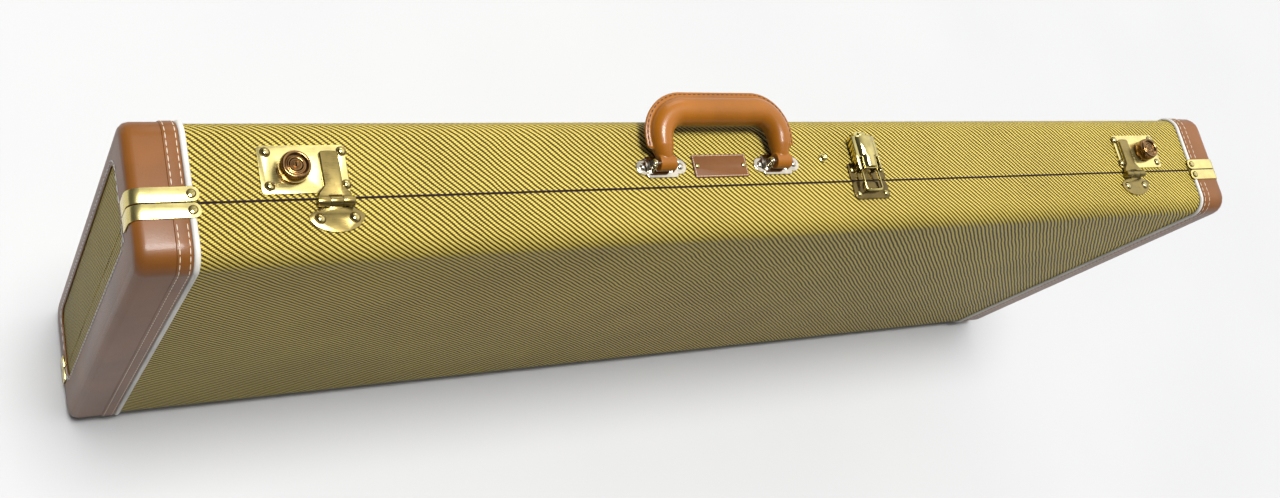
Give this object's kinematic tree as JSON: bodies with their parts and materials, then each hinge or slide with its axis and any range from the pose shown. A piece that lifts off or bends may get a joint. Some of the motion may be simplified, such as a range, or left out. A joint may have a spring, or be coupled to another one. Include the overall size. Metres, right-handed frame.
{
  "type": "guitar case",
  "caption": "Rectangular hard case for an electric guitar: cloth-covered trays with leather ends, key locks, a draw latch, a swinging handle and padded beds inside.",
  "frame": {"origin": "on the floor, under the middle of the whole object's bounding box, with the case standing on its hinge side", "axes": "+X along the case's length, from the guitar's body to its headstock; +Y from the lid's big face to the base's; +Z from the hinge side up to the side with the handle and latches"},
  "size_m": [1.0374, 0.1148, 0.4119],
  "materials": {
    "cloth": "diagonal twill tweed under clear lacquer",
    "leather": "glossy brown",
    "handle_leather": "polished tan",
    "piping": "off-white",
    "brass": "polished, lacquered",
    "nickel": "bright nickel",
    "plywood": "bare plywood",
    "plush": "short orange-brown pile over foam",
    "rubber": "matt"
  },
  "bodies": {
    "base": {"base_shell": "plywood", "base_cover": "cloth", "base_end_cap_left": "leather", "base_piping_left": "piping", "base_strip_left_upper": "brass", "base_strip_left_lower": "brass", "base_foot_left": "rubber", "base_end_cap_right": "leather", "base_piping_right": "piping", "base_strip_right_upper": "brass", "base_strip_right_lower": "brass", "base_foot_right": "rubber", "base_hinge_left": "brass", "base_hinge_middle": "brass", "base_hinge_right": "brass", "lock_plate_left": "brass", "lock_plate_right": "brass", "lock_case_left": "nickel", "lock_case_right": "nickel", "draw_latch_base": "brass", "handle_mount_left": "nickel", "handle_mount_right": "nickel", "badge": "leather", "stud": "brass", "body_bed": "plush", "neck_bed": "plush", "bed_floor": "plush", "accessory_box": "plywood"},
    "lid": {"lid_shell": "plywood", "lid_cover": "cloth", "lid_end_cap_left": "leather", "lid_piping_left": "piping", "lid_strip_left_upper": "brass", "lid_strip_left_lower": "brass", "lid_foot_left": "rubber", "lid_end_cap_right": "leather", "lid_piping_right": "piping", "lid_strip_right_upper": "brass", "lid_strip_right_lower": "brass", "lid_foot_right": "rubber", "lid_hinge_left": "brass", "lid_hinge_middle": "brass", "lid_hinge_right": "brass", "lid_padding": "plush", "hasp_plate_left": "brass", "hasp_plate_right": "brass", "draw_latch_catch": "brass"},
    "hasp_left": {"hasp_left": "brass"},
    "lock_knob_left": {"lock_knob_left": "brass"},
    "key_cylinder_left": {"key_cylinder_left": "nickel"},
    "hasp_right": {"hasp_right": "brass"},
    "lock_knob_right": {"lock_knob_right": "brass"},
    "key_cylinder_right": {"key_cylinder_right": "nickel"},
    "draw_lever": {"draw_latch_lever": "brass"},
    "draw_bail": {"draw_latch_bail": "brass"},
    "handle": {"handle_grip": "handle_leather"},
    "accessory_lid": {"accessory_lid": "plush"}
  },
  "joints": [
    {"name": "lid_hinge", "type": "hinge", "parent": "base", "child": "lid", "pos_m": [0, -0.01412, 0.0036], "axis": [1, 0, 0], "range_deg": [0, 100]},
    {"name": "hasp_hinge_left", "type": "hinge", "parent": "lid", "child": "hasp_left", "pos_m": [-0.3903, -0.01732, 0.3897], "axis": [1, 0, 0], "range_deg": [0, 110]},
    {"name": "knob_slide_left", "type": "slide", "parent": "base", "child": "lock_knob_left", "axis": [-1, 0, 0], "range_m": [0, 0.006], "stiffness_N_per_m": 400},
    {"name": "key_turn_left", "type": "hinge", "parent": "lock_knob_left", "child": "key_cylinder_left", "pos_m": [-0.415, 0.00608, 0.392], "axis": [0, 0, 1], "range_deg": [0, 90]},
    {"name": "hasp_hinge_right", "type": "hinge", "parent": "lid", "child": "hasp_right", "pos_m": [0.3903, -0.01732, 0.3897], "axis": [1, 0, 0], "range_deg": [0, 110]},
    {"name": "knob_slide_right", "type": "slide", "parent": "base", "child": "lock_knob_right", "axis": [1, 0, 0], "range_m": [0, 0.006], "stiffness_N_per_m": 400},
    {"name": "key_turn_right", "type": "hinge", "parent": "lock_knob_right", "child": "key_cylinder_right", "pos_m": [0.415, 0.00608, 0.392], "axis": [0, 0, 1], "range_deg": [0, 90]},
    {"name": "draw_lever_hinge", "type": "hinge", "parent": "base", "child": "draw_lever", "pos_m": [0.0635, -0.00532, 0.3915], "axis": [1, 0, 0], "range_deg": [0, 100]},
    {"name": "draw_bail_hinge", "type": "hinge", "parent": "draw_lever", "child": "draw_bail", "pos_m": [0.0635, 0.00188, 0.3913], "axis": [1, 0, 0], "range_deg": [-100, 0]},
    {"name": "handle_hinge", "type": "hinge", "parent": "base", "child": "handle", "pos_m": [-0.0808, 0.00228, 0.3942], "axis": [1, 0, 0], "range_deg": [0, 160]},
    {"name": "accessory_lid_hinge", "type": "hinge", "parent": "base", "child": "accessory_lid", "pos_m": [0.095, 0.00438, 0.136], "axis": [-1, 0, 0], "range_deg": [0, 70]}
  ],
  "couplings": [
    {"joint": "draw_bail_hinge", "follows": "draw_lever_hinge", "ratio": -1}
  ]
}
